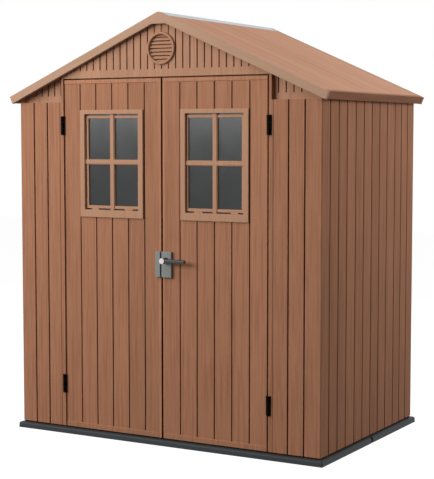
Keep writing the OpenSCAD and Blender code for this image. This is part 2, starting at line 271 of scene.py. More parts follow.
def buildSlopeAxes(pitch):  # turns a point into (along the ridge, off the slope, down the slope)
    group, start, end = newGroup("slopeAxes", [("Vector", "NodeSocketVector", None)],
                                 [("Vector", "NodeSocketVector")])
    parts = addNode(group, "ShaderNodeSeparateXYZ", {0: start.outputs["Vector"]})
    out = mathNode(group, "ABSOLUTE", parts.outputs["X"])
    sine, cosine = math.sin(math.radians(pitch)), math.cos(math.radians(pitch))
    down = mathNode(group, "SUBTRACT", mathNode(group, "MULTIPLY", out, cosine),
                    mathNode(group, "MULTIPLY", parts.outputs["Z"], sine))
    off = mathNode(group, "ADD", mathNode(group, "MULTIPLY", out, sine),
                   mathNode(group, "MULTIPLY", parts.outputs["Z"], cosine))
    joined = addNode(group, "ShaderNodeCombineXYZ", {0: parts.outputs["Y"], 1: off, 2: down})
    group.links.new(joined.outputs[0], end.inputs[0])
    return group


def buildWoodGrain():  # embossed wood grain, running along the vector's third part, with painted shade in the grooves
    group, start, end = newGroup("woodGrain", [
        ("Vector", "NodeSocketVector", None), ("Colour", "NodeSocketColor", (0.35, 0.17, 0.1, 1)),
        ("Vein Colour", "NodeSocketColor", (0.2, 0.09, 0.05, 1)),
        ("Groove Shade Colour", "NodeSocketColor", (0.05, 0.02, 0.012, 1)),
        ("Fine", "NodeSocketFloat", 0.2), ("Veins", "NodeSocketFloat", 0.3),
        ("Clouds", "NodeSocketFloat", 0.1), ("Board Tone And Highlight", "NodeSocketFloat", 0.1),
        ("Stretch", "NodeSocketFloat", 0.03), ("Size", "NodeSocketFloat", 1.0),
        ("Roughness", "NodeSocketFloat", 0.55)],
        [("Colour", "NodeSocketColor"), ("Roughness", "NodeSocketFloat"), ("Height", "NodeSocketFloat")])
    inp = start.outputs
    scales = {"wander": 9.0, "fine": 320.0, "veins": 85.0, "clouds": 5.0}
    bend, veinEdge, grooveShadeGain = 0.012, (0.46, 0.66), 1.5
    roughSwing, fineHeight, veinHeight = 0.16, 0.5, 0.35
    shape = addNode(group, "ShaderNodeCombineXYZ", {0: 1.0, 1: 1.0, 2: inp["Stretch"]})
    sized = addNode(group, "ShaderNodeVectorMath", {0: inp["Vector"], 1: shape.outputs[0]},
                    operation="MULTIPLY")
    scaled = addNode(group, "ShaderNodeVectorMath", {0: sized.outputs[0], "Scale": inp["Size"]},
                     operation="SCALE")
    grain = scaled.outputs[0]
    wander = addNode(group, "ShaderNodeTexNoise", {"Vector": grain, "Scale": scales["wander"],
                                                    "Detail": 1.0})
    bent = addNode(group, "ShaderNodeVectorMath", {0: wander.outputs["Color"], 1: (bend, bend, bend),
                                                   2: grain}, operation="MULTIPLY_ADD").outputs[0]
    fine = noise(group, bent, scales["fine"], 3.0, 0.6)
    veins = noise(group, bent, scales["veins"], 2.0, 0.55)
    clouds = noise(group, inp["Vector"], scales["clouds"], 2.0, 0.5)
    veinMask = addNode(group, "ShaderNodeMapRange", {"Value": veins, "From Min": veinEdge[0],
                                                     "From Max": veinEdge[1], "To Min": 0.0,
                                                     "To Max": 1.0}).outputs[0]
    tone = addNode(group, "ShaderNodeAttribute", attribute_name="boardToneAndHighlight").outputs["Fac"]
    depth = addNode(group, "ShaderNodeAttribute", attribute_name="paintedGrooveShade").outputs["Fac"]
    bright = 1.0
    # the board tone attribute also carries a painted highlight on the doors' lips and top rails
    for value, amount in ((fine, "Fine"), (clouds, "Clouds"), (tone, "Board Tone And Highlight")):
        bright = mathNode(group, "ADD", swing(group, value, inp[amount]), bright)
    veined = addNode(group, "ShaderNodeMix", data_type="RGBA")
    group.links.new(mathNode(group, "MULTIPLY", veinMask, inp["Veins"]), veined.inputs[0])
    linkMixColours(group, veined, inp["Colour"], inp["Vein Colour"])
    lit = addNode(group, "ShaderNodeVectorMath", {0: veined.outputs[2], "Scale": bright},
                  operation="SCALE")
    # painted shade in grooves and gaps: the colour goes towards the groove shade colour as the groove shade
    # attribute grows
    grooveShaded = addNode(group, "ShaderNodeMix", data_type="RGBA")
    group.links.new(mathNode(group, "MINIMUM", mathNode(group, "MULTIPLY", depth, grooveShadeGain), 1.0),
                    grooveShaded.inputs[0])
    linkMixColours(group, grooveShaded, lit.outputs[0], inp["Groove Shade Colour"])
    group.links.new(grooveShaded.outputs[2], end.inputs["Colour"])
    rough = mathNode(group, "ADD", inp["Roughness"], swing(group, fine, roughSwing))
    group.links.new(rough, end.inputs["Roughness"])
    height = mathNode(group, "SUBTRACT", mathNode(group, "MULTIPLY", fine, fineHeight),
                      mathNode(group, "MULTIPLY", veinMask, veinHeight))
    group.links.new(height, end.inputs["Height"])
    return group


def linkMixColours(tree, node, first, second):  # the colour sockets of a Mix node
    tree.links.new(first, node.inputs[6])
    tree.links.new(second, node.inputs[7])


def buildMoulded():  # the slight unevenness of a moulded or coated surface
    group, start, end = newGroup("mouldedSurface", [
        ("Vector", "NodeSocketVector", None), ("Colour", "NodeSocketColor", (0.1, 0.1, 0.1, 1)),
        ("Speckle", "NodeSocketFloat", 0.15), ("Clouds", "NodeSocketFloat", 0.1),
        ("Scale", "NodeSocketFloat", 600.0), ("Roughness", "NodeSocketFloat", 0.5)],
        [("Colour", "NodeSocketColor"), ("Roughness", "NodeSocketFloat"), ("Height", "NodeSocketFloat")])
    inp = start.outputs
    speck = noise(group, inp["Vector"], inp["Scale"], 2.0, 0.5)
    clouds = noise(group, inp["Vector"], 7.0, 3.0, 0.55)
    bright = mathNode(group, "ADD", 1.0, swing(group, speck, inp["Speckle"]))
    bright = mathNode(group, "ADD", bright, swing(group, clouds, inp["Clouds"]))
    lit = addNode(group, "ShaderNodeVectorMath", {0: inp["Colour"], "Scale": bright}, operation="SCALE")
    group.links.new(lit.outputs[0], end.inputs["Colour"])
    rough = mathNode(group, "ADD", inp["Roughness"], swing(group, clouds, 0.12))
    group.links.new(rough, end.inputs["Roughness"])
    group.links.new(speck, end.inputs["Height"])
    return group


roofPitch = 23.7  # degrees, as built
slopeAxes = buildSlopeAxes(roofPitch)
woodGrain = buildWoodGrain()
mouldedSurface = buildMoulded()
print("shader groups built")


# materials
def newMaterial(name):
    material = bpy.data.materials.new(name)
    material.use_nodes = True
    tree = material.node_tree
    return material, tree, tree.nodes["Principled BSDF"]


def useGroup(tree, group, vector, values):
    node = tree.nodes.new("ShaderNodeGroup")
    node.node_tree = group
    for key, value in values.items():
        node.inputs[key].default_value = value
    tree.links.new(vector, node.inputs["Vector"])
    return node


def finishSurface(tree, shader, surface, bump, distance, shaderValues):
    tree.links.new(surface.outputs["Colour"], shader.inputs["Base Color"])
    tree.links.new(surface.outputs["Roughness"], shader.inputs["Roughness"])
    relief = addNode(tree, "ShaderNodeBump", {"Height": surface.outputs["Height"], "Strength": bump,
                                              "Distance": distance})
    tree.links.new(relief.outputs[0], shader.inputs["Normal"])
    for key, value in shaderValues.items():
        shader.inputs[key].default_value = value


def grainMaterial(name, grain, look):
    material, tree, shader = newMaterial(name)
    place = addNode(tree, "ShaderNodeTexCoord").outputs["Object"]
    if grain == "slope":
        turned = tree.nodes.new("ShaderNodeGroup")
        turned.node_tree = slopeAxes
        tree.links.new(place, turned.inputs[0])
        place = turned.outputs[0]
    elif grain != "z":
        parts = addNode(tree, "ShaderNodeSeparateXYZ", {0: place})
        order = {"x": ("Y", "Z", "X"), "y": ("X", "Z", "Y")}[grain]
        place = addNode(tree, "ShaderNodeCombineXYZ",
                        {i: parts.outputs[o] for i, o in enumerate(order)}).outputs[0]
    surface = useGroup(tree, woodGrain, place, look["grain"])
    finishSurface(tree, shader, surface, look["bump"], look["bumpDepth"], look["shader"])
    return material


def mouldedMaterial(name, look):
    material, tree, shader = newMaterial(name)
    place = addNode(tree, "ShaderNodeTexCoord").outputs["Object"]
    surface = useGroup(tree, mouldedSurface, place, look["surface"])
    finishSurface(tree, shader, surface, look["bump"], look["bumpDepth"], look["shader"])
    return material


wallLook = {
    "grain": {"Colour": (0.364, 0.168, 0.094, 1), "Vein Colour": (0.260, 0.107, 0.059, 1),
              "Groove Shade Colour": (0.040, 0.005, 0.0, 1), "Fine": 0.46, "Veins": 0.55, "Clouds": 0.12,
              "Board Tone And Highlight": 0.17, "Stretch": 0.03, "Size": 1.0, "Roughness": 0.56},
    "bump": 0.35, "bumpDepth": 0.0006, "shader": {"Specular IOR Level": 0.05, "IOR": 1.5},
}
trimLook = {
    **wallLook,
    "grain": {**wallLook["grain"], "Colour": (0.43, 0.262, 0.174, 1), "Vein Colour": (0.33, 0.18, 0.11, 1),
              "Fine": 0.2, "Veins": 0.25, "Clouds": 0.06, "Board Tone And Highlight": 0.0},
    "bump": 0.3, "bumpDepth": 0.0005,
}
# a darker copy of the wall colour: painted shade on the sideways-facing eave trims
eaveLook = {**wallLook, "grain": {**wallLook["grain"], "Colour": (0.265, 0.119, 0.064, 1),
                                  "Vein Colour": (0.18, 0.07, 0.037, 1), "Board Tone And Highlight": 0.0}}
frameLook = {**trimLook, "grain": {**trimLook["grain"], "Colour": (0.44, 0.242, 0.150, 1),
                                   "Vein Colour": (0.33, 0.16, 0.093, 1), "Fine": 0.3}}
# the roof's colour is paler than the walls': partly its own tone, partly a painted sheen from the bright sky
# at a grazing angle
roofLook = {
    **wallLook,
    "grain": {**wallLook["grain"], "Colour": (0.495, 0.254, 0.151, 1), "Vein Colour": (0.30, 0.128, 0.072, 1),
              "Fine": 0.5, "Veins": 0.5, "Clouds": 0.06, "Board Tone And Highlight": 0.0, "Stretch": 0.012, "Size": 0.9},
    "bumpDepth": 0.0008,
}
gableLook = {**wallLook, "grain": {**wallLook["grain"], "Colour": (0.42, 0.222, 0.134, 1),
                                   "Vein Colour": (0.32, 0.15, 0.09, 1),
                                   "Groove Shade Colour": (0.06, 0.016, 0.004, 1), "Fine": 0.36, "Veins": 0.35,
                                   "Board Tone And Highlight": 0.1}}
charcoalLook = {
    "surface": {"Colour": (0.034, 0.039, 0.042, 1), "Speckle": 0.5, "Clouds": 0.3, "Scale": 420.0,
                "Roughness": 0.55},
    "bump": 0.25, "bumpDepth": 0.0004, "shader": {"Specular IOR Level": 0.2},
}
blackLook = {
    "surface": {"Colour": (0.004, 0.004, 0.004, 1), "Speckle": 0.4, "Clouds": 0.3, "Scale": 900.0,
                "Roughness": 0.42},
    "bump": 0.2, "bumpDepth": 0.0002, "shader": {"Specular IOR Level": 0.02},
}
greyLook = {
    "surface": {"Colour": (0.175, 0.180, 0.172, 1), "Speckle": 0.12, "Clouds": 0.15, "Scale": 700.0,
                "Roughness": 0.45},
    "bump": 0.15, "bumpDepth": 0.0002, "shader": {"Specular IOR Level": 0.5},
}
handleLook = {
    "surface": {"Colour": (0.010, 0.010, 0.010, 1), "Speckle": 0.3, "Clouds": 0.2, "Scale": 800.0,
                "Roughness": 0.36},
    "bump": 0.15, "bumpDepth": 0.0002, "shader": {"Specular IOR Level": 0.5},
}
capLook = {
    "surface": {"Colour": (0.72, 0.70, 0.70, 1), "Speckle": 0.05, "Clouds": 0.05, "Scale": 600.0,
                "Roughness": 0.35},
    "bump": 0.05, "bumpDepth": 0.0001, "shader": {"Specular IOR Level": 0.5},
}
steelLook = {
    "surface": {"Colour": (0.55, 0.56, 0.57, 1), "Speckle": 0.1, "Clouds": 0.35, "Scale": 160.0,
                "Roughness": 0.42},
    "bump": 0.08, "bumpDepth": 0.0002, "shader": {"Metallic": 0.9, "Specular IOR Level": 0.5},
}
frostedLook = {
    "surface": {"Colour": (0.66, 0.71, 0.74, 1), "Speckle": 0.04, "Clouds": 0.06, "Scale": 300.0,
                "Roughness": 0.45},
    "bump": 0.15, "bumpDepth": 0.0004,
    "shader": {"Specular IOR Level": 0.5, "Transmission Weight": 0.35, "IOR": 1.5},
}
glassLook = {
    "surface": {"Colour": (0.034, 0.036, 0.036, 1), "Speckle": 0.02, "Clouds": 0.12, "Scale": 90.0,
                "Roughness": 0.2},
    "bump": 0.03, "bumpDepth": 0.0005,
    "shader": {"Specular IOR Level": 0.24, "Transmission Weight": 0.5, "IOR": 1.5},
}

wallResin = grainMaterial("wallResin", "z", wallLook)
crossResin = grainMaterial("crossResin", "x", wallLook)
gableResin = grainMaterial("gableResin", "z", gableLook)
rakeResin = grainMaterial("rakeResin", "slope", trimLook)
eaveResin = grainMaterial("eaveResin", "y", eaveLook)
frameResin = grainMaterial("frameResin", "z", frameLook)
roofResin = grainMaterial("roofResin", "slope", roofLook)
charcoalResin = mouldedMaterial("charcoalResin", charcoalLook)
blackCoat = mouldedMaterial("blackCoat", blackLook)
greyPlate = mouldedMaterial("greyPlate", greyLook)
darkHandle = mouldedMaterial("darkHandle", handleLook)
whiteCap = mouldedMaterial("whiteCap", capLook)
galvanised = mouldedMaterial("galvanised", steelLook)
frostedSheet = mouldedMaterial("frostedSheet", frostedLook)
smokedSheet = mouldedMaterial("smokedSheet", glassLook)
print("materials built")


# places shared by the pieces, from the frame
leafLow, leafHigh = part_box("door_leaf_right")
wallLow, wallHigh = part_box("front_wall_right")
sideLow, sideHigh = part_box("side_wall_right")
gableLow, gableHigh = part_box("front_gable")
cheekLow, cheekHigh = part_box("gable_cheek_right")
backLow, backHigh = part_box("back_wall")
ridgeLow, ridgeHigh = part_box("front_ridge_cap")
panelLow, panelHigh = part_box("roof_panel_right")
eaveLow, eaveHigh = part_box("eave_trim_right")
rakeLow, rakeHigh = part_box("front_rake_right")
ringLow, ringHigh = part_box("front_vent_ring")
frameLow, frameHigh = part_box("window_frame_right")
glassLow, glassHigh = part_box("window_glass_right")
lockLow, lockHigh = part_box("lock_plate")
strikeLow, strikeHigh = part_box("strike_plate")
leverLow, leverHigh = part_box("lever_handle")
capLow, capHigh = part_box("lock_cap")
skyLow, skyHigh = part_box("skylight")

frontY = leafLow.y
wallTop = wallHigh.z
pitch = math.radians(roofPitch)
ridgeZ = ridgeHigh.z
panelUnder = 27 * mm  # the roof panels' underside below the trims' top, across the slope
wallThick = 20 * mm
frameLap = 10 * mm  # how far a window frame's flange laps over its leaf
pastRidge = ridgeZ + 100 * mm
slopeNormal = Vector((math.sin(pitch), 0, math.cos(pitch)))
boardGroove = [(6 * mm, 0), (4 * mm, 0.6 * mm), (2.8 * mm, 2.2 * mm), (1.9 * mm, 8 * mm)]


def roofZ(x, depth):
    return ridgeZ - depth / math.cos(pitch) - abs(x) * math.tan(pitch)


def underRoof(bm, depth, sides=(1,)):  # trims a slab to the roof's underside
    for side in sides:
        trim(bm, (0, 0, roofZ(0, depth)), (side * slopeNormal.x, 0, slopeNormal.z))


def uprights(places, profile=boardGroove, span=None):
    return [{"runs": "v", "at": p, "profile": profile, "span": span} for p in places]


wall = {
    "frontGrooves": (705 * mm, 791 * mm),
    "frontLip": 624 * mm,
    "sideGrooves": [y * mm for y in (-479.5, -382.6, -287.2, -185.1, -86.8, 11.2, 108.9, 206.6,
                                     310.4, 397.9, 482.7)],
    "backGrooves": [(i - 8.5) * 97.8 * mm for i in range(18)],
    "softGroove": [(5 * mm, 0), (2.5 * mm, 1.4 * mm), (0.5 * mm, 2.2 * mm)],
    "sideGroove": [(6 * mm, 0), (4.4 * mm, 0.7 * mm), (3.4 * mm, 3 * mm), (2.8 * mm, 9 * mm)],
    "innerGroove": [(3 * mm, 0), (1.2 * mm, 1.6 * mm)],
    "foot": [(7.5 * mm, 0), (7 * mm, 5.5 * mm)],
    "cornerRadius": 6 * mm,
    "ledge": {"from": 614 * mm, "reach": 49 * mm, "thick": 20 * mm, "bevel": 1.5 * mm},
}


def footLine(height):  # the shadow line where a wall stands on the base
    return [{"runs": "h", "at": height, "profile": wall["foot"]}]


def cornerRound(bm, cornerX, cornerY, alongX):
    # eases the upright edge where two mitred walls meet
    radius = wall["cornerRadius"]
    signX, signY = math.copysign(1, cornerX), math.copysign(1, cornerY)
    steps = [0.0, 0.25, 0.55, 1.0]
    own, face = (0, 1) if alongX else (1, 0)
    corner = (cornerX, cornerY)
    sign = (signX, signY)
    for vert in bm.verts:  # what was pressed back at the corner stays on the mitre
        pressed = abs(vert.co[face] - corner[face])
        if abs(vert.co[own] - corner[own]) < 1e-5 and 1e-5 < pressed < 10 * mm:
            vert.co[own] -= sign[own] * pressed
    sliceAt(bm, own, [corner[own] - sign[own] * radius * s for s in steps[1:]])
    for vert in bm.verts:
        if abs(vert.co[face] - corner[face]) > 1e-5:
            continue
        offset = abs(vert.co[own] - corner[own]) / radius
        if offset > 1 - 1e-4:
            continue
        angle = math.radians(45) * (1 - offset)
        vert.co[own] = corner[own] - sign[own] * radius * (1 - math.sin(angle))
        vert.co[face] = corner[face] - sign[face] * radius * (1 - math.cos(angle))


for side, tag in ((-1, "Left"), (1, "Right")):
    # front panel beside the doorway
    bm = block(wallLow, (wallHigh.x, frontY + wallThick, wallTop))
    trim(bm, (wallHigh.x, frontY, 0), (1, 1, 0))
    features = uprights(wall["frontGrooves"]) + uprights([wall["frontLip"]], wall["softGroove"]) \
        + footLine(wallLow.z)
    pressRelief(bm, 0, 2, 1, frontY, 1, features, wall["frontGrooves"], 11 + side)
    pressRelief(bm, 0, 2, 1, frontY + wallThick, -1, uprights(wall["frontGrooves"], wall["innerGroove"]),
                wall["frontGrooves"], 11 + side)
    cornerRound(bm, wallHigh.x, frontY, True)
    shelf = wall["ledge"]
    ledge = block((shelf["from"], frontY + wallThick, wallTop - shelf["thick"]),
                  (wallHigh.x - wallThick, frontY + shelf["reach"], wallTop))
    bevelEdges(ledge, shelf["bevel"])
    joinInto(bm, ledge)
    makePiece(f"frontPanel{tag}", toSide(bm, side), "shed", wallResin,
              [f"front_wall_{tag.lower()}"])
    # side wall
    bm = block(sideLow, sideHigh)
    trim(bm, (sideHigh.x, sideLow.y, 0), (-1, -1, 0))
    trim(bm, (sideHigh.x, sideHigh.y, 0), (-1, 1, 0))
    underRoof(bm, panelUnder)
    features = uprights(wall["sideGrooves"], wall["sideGroove"]) + footLine(sideLow.z)
    pressRelief(bm, 1, 2, 0, sideHigh.x, -1, features, wall["sideGrooves"], 31 + side)
    pressRelief(bm, 1, 2, 0, sideLow.x, 1, uprights(wall["sideGrooves"], wall["innerGroove"]),
                wall["sideGrooves"], 31 + side)
    cornerRound(bm, sideHigh.x, sideLow.y, False)
    cornerRound(bm, sideHigh.x, sideHigh.y, False)
    makePiece(f"sideBoards{tag}", toSide(bm, side), "shed", wallResin,
              [f"side_wall_{tag.lower()}"])

# back wall and rear gable
bm = block(backLow, backHigh)
trim(bm, (backHigh.x, backHigh.y, 0), (1, -1, 0))
trim(bm, (backLow.x, backHigh.y, 0), (-1, -1, 0))
features = uprights(wall["backGrooves"]) + footLine(backLow.z)
pressRelief(bm, 0, 2, 1, backHigh.y, -1, features, wall["backGrooves"], 53)
pressRelief(bm, 0, 2, 1, backLow.y, 1, uprights(wall["backGrooves"], wall["innerGroove"]),
            wall["backGrooves"], 53)
cornerRound(bm, backHigh.x, backHigh.y, True)
cornerRound(bm, backLow.x, backHigh.y, True)
makePiece("backBoards", bm, "shed", wallResin, ["back_wall"])
print("walls built")


gable = {
    "pitch": 41 * mm,
    "bandTop": 1889 * mm,
    "cheekBandTop": 1763 * mm,
    "cheekGrooves": [x * mm for x in (636, 677, 718, 759, 800)],
    "groove": [(4.2 * mm, 0), (3.2 * mm, 0.8 * mm), (2.2 * mm, 5 * mm)],
    "rearBand": 36 * mm,
    "holeRadius": 72.2 * mm,
    "cutPast": 50 * mm,
}
ventCentre = (ringLow + ringHigh) / 2


def gableSlab(halfWidth, bottom, y0, y1):
    bm = block((-halfWidth, y0, bottom), (halfWidth, y1, ridgeZ))
    underRoof(bm, panelUnder, (-1, 1))
    return bm


def holeCutter(y0, y1):  # goes past both faces of the gable
    bm = bmesh.new()
    bmesh.ops.create_cone(bm, cap_ends=True, segments=96, radius1=gable["holeRadius"],
                          radius2=gable["holeRadius"], depth=y1 - y0 + 2 * gable["cutPast"])
    bmesh.ops.rotate(bm, verts=bm.verts, cent=(0, 0, 0), matrix=Matrix.Rotation(math.pi / 2, 3, "X"))
    bmesh.ops.translate(bm, verts=bm.verts, vec=(0, (y0 + y1) / 2, ventCentre.z))
    return bm


gableGrooves = [i * gable["pitch"] for i in range(-14, 15)]
bm = gableSlab(gableHigh.x, gableLow.z, frontY, frontY + wallThick)
pressRelief(bm, 0, 2, 1, frontY, 1,
            uprights(gableGrooves, gable["groove"], (gable["bandTop"], pastRidge)), gableGrooves, 71)
makePiece("frontGableBoards", bm, "shed", gableResin, ["front_gable"],
          [holeCutter(frontY, frontY + wallThick)])

rearY = backHigh.y
rearGrooves = [i * gable["pitch"] for i in range(-20, 21)]
bm = gableSlab(backHigh.x, wallTop, rearY - wallThick, rearY)
trim(bm, (backHigh.x, rearY, 0), (1, -1, 0))
trim(bm, (backLow.x, rearY, 0), (-1, -1, 0))
pressRelief(bm, 0, 2, 1, rearY, -1,
            uprights(rearGrooves, gable["groove"], (wallTop + gable["rearBand"], pastRidge)), rearGrooves, 73)
cornerRound(bm, backHigh.x, rearY, True)
cornerRound(bm, backLow.x, rearY, True)
makePiece("rearGableBoards", bm, "shed", gableResin, ["back_gable"],
          [holeCutter(rearY - wallThick, rearY)])

for side, tag in ((-1, "Left"), (1, "Right")):
    bm = block(cheekLow, cheekHigh)
    underRoof(bm, panelUnder)
    pressRelief(bm, 0, 2, 1, cheekLow.y, 1,
                uprights(gable["cheekGrooves"], gable["groove"], (gable["cheekBandTop"], pastRidge)),
                gable["cheekGrooves"], 75 + side)
    makePiece(f"gableCheek{tag}", toSide(bm, side), "shed", gableResin,
              [f"gable_cheek_{tag.lower()}"])
print("gables built")


vent = {"outer": 80 * mm, "inner": 68 * mm, "sleeve": 72 * mm, "proud": 13 * mm, "lip": 3 * mm,
        "count": 8, "pitch": 18 * mm, "tilt": 58, "bladeWidth": 17 * mm, "bladeThick": 2.6 * mm,
        "bladeSet": 2 * mm, "bladeBevel": 0.6 * mm, "bladeLap": 1.5 * mm}


def ventRing():
    outer, inner, proud, lip = vent["outer"], vent["inner"], vent["proud"], vent["lip"]
    profile = [(vent["sleeve"], wallThick), (vent["sleeve"], 0), (outer, 0), (outer, -proud + 4 * mm),
               (outer - 1.2 * mm, -proud + 1.4 * mm), (outer - 3.5 * mm, -proud),
               (inner + 3 * mm, -proud), (inner + 1.2 * mm, -proud + 0.8 * mm), (inner, -proud + lip),
               (inner, wallThick)]
    return tube(profile, (0, frontY, ventCentre.z))


def ventBlades():
    bm = bmesh.new()
    middle = (vent["count"] - 1) / 2
    reach = vent["inner"] + vent["bladeLap"]
    top = reach - 2 * mm
    for i in range(vent["count"]):
        z = (i - middle) * vent["pitch"]
        blade = block((-reach, -vent["bladeWidth"] / 2, -vent["bladeThick"] / 2),
                      (reach, vent["bladeWidth"] / 2, vent["bladeThick"] / 2))
        bmesh.ops.rotate(blade, verts=blade.verts, cent=(0, 0, 0),
                         matrix=Matrix.Rotation(math.radians(vent["tilt"]), 3, "X"))
        for v in blade.verts:  # the ends follow the round opening
            v.co.z = max(min(v.co.z, top - z), -top - z)
            v.co.x = math.copysign(math.sqrt(reach ** 2 - (v.co.z + z) ** 2), v.co.x)
        bevelEdges(blade, vent["bladeBevel"])
        bmesh.ops.translate(blade, verts=blade.verts, vec=(0, frontY + vent["bladeSet"], ventCentre.z + z))
        joinInto(bm, blade)
    return bm


for word in ("front", "rear"):
    for part, shape, node in (("Ring", ventRing(), "ring"), ("Blades", ventBlades(), "louvres")):
        makePiece(f"{word}Vent{part}", toRear(shape) if word == "rear" else shape, "shed",
                  gableResin, [f"{word}_vent_{node}"])
print("vents built")


roof = {"trimBevel": 2.5 * mm, "crownBevel": 9 * mm, "trimDepth": 40 * mm, "eaveWidth": 22 * mm,
        "panelSet": 1 * mm, "lightThick": 10 * mm, "rakePast": 3 * mm}


def slopeBlock(s0, s1, y0, y1, top, bottom):
    # s runs down the slope; top and bottom are depths below the trims
    bm = block((s0, y0, -bottom), (s1, y1, -top))
    bmesh.ops.rotate(bm, verts=bm.verts, cent=(0, 0, 0), matrix=Matrix.Rotation(pitch, 3, "Y"))
    bmesh.ops.translate(bm, verts=bm.verts, vec=(0, 0, ridgeZ))
    return bm


halfSpan = eaveHigh.x
slopeLength = halfSpan / math.cos(pitch)
eaveFrom = slopeLength - roof["eaveWidth"]
for side, tag in ((-1, "Left"), (1, "Right")):
    bm = slopeBlock(0, eaveFrom, panelLow.y, panelHigh.y, roof["panelSet"], panelUnder)
    trim(bm, (skyHigh.x, 0, 0), (-1, 0, 0))
    makePiece(f"roofPanel{tag}", toSide(bm, side), "shed", roofResin,
              [f"roof_panel_{tag.lower()}"])
    bm = slopeBlock(eaveFrom, slopeLength, eaveLow.y, eaveHigh.y, 0, roof["trimDepth"])
    bevelEdges(bm, roof["trimBevel"], 3, lambda e: abs((e.verts[0].co - e.verts[1].co).y) > 0.5)
    makePiece(f"eaveTrim{tag}", toSide(bm, side), "shed", eaveResin,
              [f"eave_trim_{tag.lower()}"])

for end, word in ((1, "front"), (-1, "rear")):
    for side, tag in ((-1, "Left"), (1, "Right")):
        bm = slopeBlock(0, slopeLength + roof["rakePast"], rakeLow.y, rakeHigh.y, 0, roof["trimDepth"])
        trim(bm, (ridgeHigh.x, 0, 0), (-1, 0, 0))
        bevelEdges(bm, roof["trimBevel"], 3, lambda e: e.calc_length() > 0.3)
        bm = toSide(bm, side * end)
        makePiece(f"{word}Rake{tag}", toRear(bm) if end < 0 else bm, "shed", rakeResin,
                  [f"{word}_rake_{tag.lower()}"])
    bm = block((-ridgeHigh.x, ridgeLow.y, roofZ(ridgeHigh.x, roof["trimDepth"])),
               (ridgeHigh.x, ridgeHigh.y, ridgeZ))
    for side in (-1, 1):
        trim(bm, (0, 0, ridgeZ), (side * slopeNormal.x, 0, slopeNormal.z))
    bevelEdges(bm, roof["crownBevel"], 4, lambda e: min(v.co.z for v in e.verts) > ridgeZ - 1 * mm, 20)
    bevelEdges(bm, roof["trimBevel"], 2, lambda e: abs(e.verts[0].co.y - e.verts[1].co.y) < 1 * mm
               and 0.5 * mm < abs(e.verts[0].co.x - e.verts[1].co.x)
               and min(v.co.z for v in e.verts) > roofZ(ridgeHigh.x, 1 * mm), 40)
    makePiece(f"{word}RidgeCap", toRear(bm) if end < 0 else bm, "shed", rakeResin,
              [f"{word}_ridge_cap"])

bm = block((-skyHigh.x, skyLow.y, roofZ(skyHigh.x, roof["panelSet"] + roof["lightThick"])),
           (skyHigh.x, skyHigh.y, ridgeZ))
for side in (-1, 1):
    trim(bm, (0, 0, roofZ(0, roof["panelSet"])), (side * slopeNormal.x, 0, slopeNormal.z))
makePiece("ridgeLight", bm, "shed", frostedSheet, ["skylight"])
print("roof built")


door = {
    "grooves": [x * mm for x in (104, 202, 300, 398, 496)],
    "topRail": 22 * mm, "bottomRail": 27 * mm, "lip": 14 * mm,
    "fieldDepth": 3 * mm, "ramp": (9 * mm, 2.5 * mm), "edge": 3 * mm,
    # the tone of 1.4 is a painted highlight on the lip and top rail; the 1 mm edge width is painted shade
    # inside the gaps
    "fieldPast": 30 * mm, "paintedHighlightTone": 1.4, "paintedGapShadeWidth": 1.0 * mm,
    # a black strip behind each meeting edge: painted shade for the gap between the leaves
    "gapShadeStrip": {"proud": 0.8 * mm, "set": 2 * mm, "y0": 7 * mm, "y1": 22 * mm, "margin": 12 * mm,
             "bevel": 0.5 * mm},
}
leafBack = leafHigh.y


def paintLeafHighlightAndShade(bm, low, high):  # paints a highlight on the leaf's meeting-edge lip and top rail, and paints shade on its edges inside the gaps
    toneAndHighlightLayer = bm.faces.layers.float["boardToneAndHighlight"]
    grooveShadeLayer = bm.verts.layers.float["paintedGrooveShade"]
    for face in bm.faces:
        middle = face.calc_center_median()
        # painted highlight on the meeting-edge lip and the top rail
        if middle.x < leafLow.x + door["lip"] + 2 * mm or middle.z > high:
            face[toneAndHighlightLayer] = door["paintedHighlightTone"]
    for vert in bm.verts:
        inset = min(vert.co.x - leafLow.x, leafHigh.x - vert.co.x, leafHigh.z - vert.co.z)
        # painted shade on the edges inside the gaps
        if inset < door["paintedGapShadeWidth"]:
            vert[grooveShadeLayer] = 1.0


for side, tag in ((-1, "Left"), (1, "Right")):
    bm = block(leafLow, leafHigh)
    bevelEdges(bm, door["edge"], 3, atFront(frontY))
    openHole(bm, 1, (frameLow.x + frameLap, 0, frameLow.z + frameLap),
             (frameHigh.x - frameLap, 0, frameHigh.z - frameLap))
    low, high = leafLow.z + door["bottomRail"], leafHigh.z - door["topRail"]
    features = uprights(door["grooves"], boardGroove, (low, high))
    field = {"low": (leafLow.x + door["lip"], low - door["ramp"][1]),
             "high": (leafHigh.x + door["fieldPast"], high + door["ramp"][1]),
             "ramp": door["ramp"], "depth": door["fieldDepth"]}
    pressRelief(bm, 0, 2, 1, frontY, 1, features, door["grooves"], 91 + side, field)
    pressRelief(bm, 0, 2, 1, leafBack, -1, uprights(door["grooves"], wall["innerGroove"], (low, high)),
                door["grooves"], 91 + side)
    paintLeafHighlightAndShade(bm, low, high)
    makePiece(f"doorBoards{tag}", toSide(bm, side), f"{tag.lower()}_door", wallResin,
              [f"door_leaf_{tag.lower()}"])
    # black strip behind the meeting edge, so that the gap between the leaves is painted dark as shade
    gapShadeStrip = door["gapShadeStrip"]
    bm = block((leafLow.x - gapShadeStrip["proud"], frontY + gapShadeStrip["y0"], leafLow.z + gapShadeStrip["margin"]),
               (leafLow.x + gapShadeStrip["set"], frontY + gapShadeStrip["y1"], leafHigh.z - gapShadeStrip["margin"]))
    bevelEdges(bm, gapShadeStrip["bevel"], 2)
    makePiece(f"meetingGapShade{tag}", toSide(bm, side), f"{tag.lower()}_door", blackCoat)
print("doors built")


